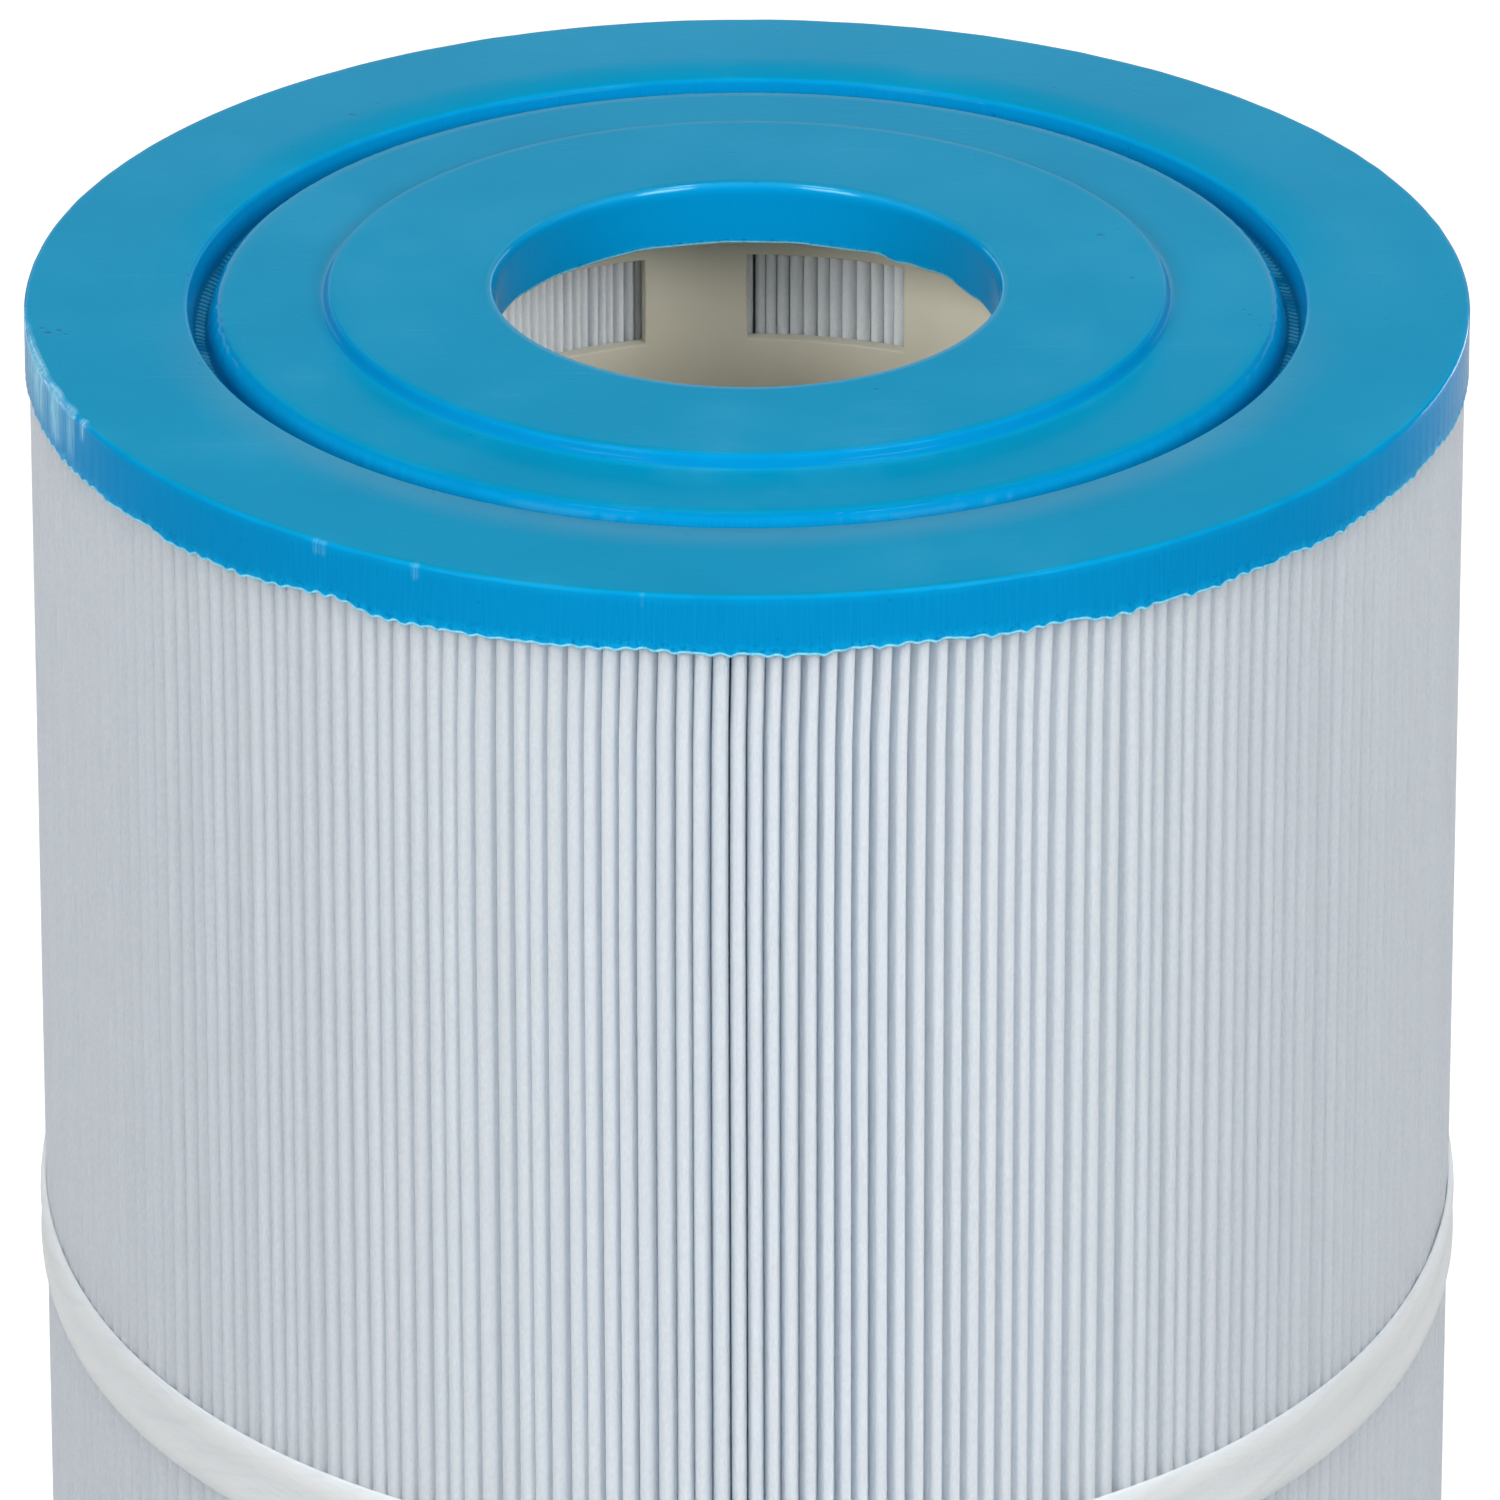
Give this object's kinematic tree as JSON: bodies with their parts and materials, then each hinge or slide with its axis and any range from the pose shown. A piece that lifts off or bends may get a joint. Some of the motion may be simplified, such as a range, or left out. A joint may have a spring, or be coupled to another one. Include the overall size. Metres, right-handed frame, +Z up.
{
  "type": "filter cartridge",
  "caption": "Open-ended pleated pool and spa filter cartridge: cast end caps with sealing rings, windowed core tube, pleated fabric pack and outer straps.",
  "frame": {"origin": "on the axis, at the face of the lower end cap's sealing ring, which the cartridge stands on", "axes": "+Z up along the axis of the cartridge, +Y towards the side that carries the pleat pack's seam"},
  "size_m": [0.2276, 0.2276, 0.5905],
  "materials": {
    "cast_polyurethane": "satin",
    "core_plastic": "satin",
    "filter_fabric": "matte",
    "seam_adhesive": "satin",
    "strap_fabric": "satin"
  },
  "bodies": {
    "root": {"top_end_cap": "cast_polyurethane", "bottom_end_cap": "cast_polyurethane", "core_tube": "core_plastic", "pleated_media": "filter_fabric", "side_seam_bead": "seam_adhesive", "upper_band": "strap_fabric", "middle_band": "strap_fabric", "lower_band": "strap_fabric"}
  },
  "joints": []
}
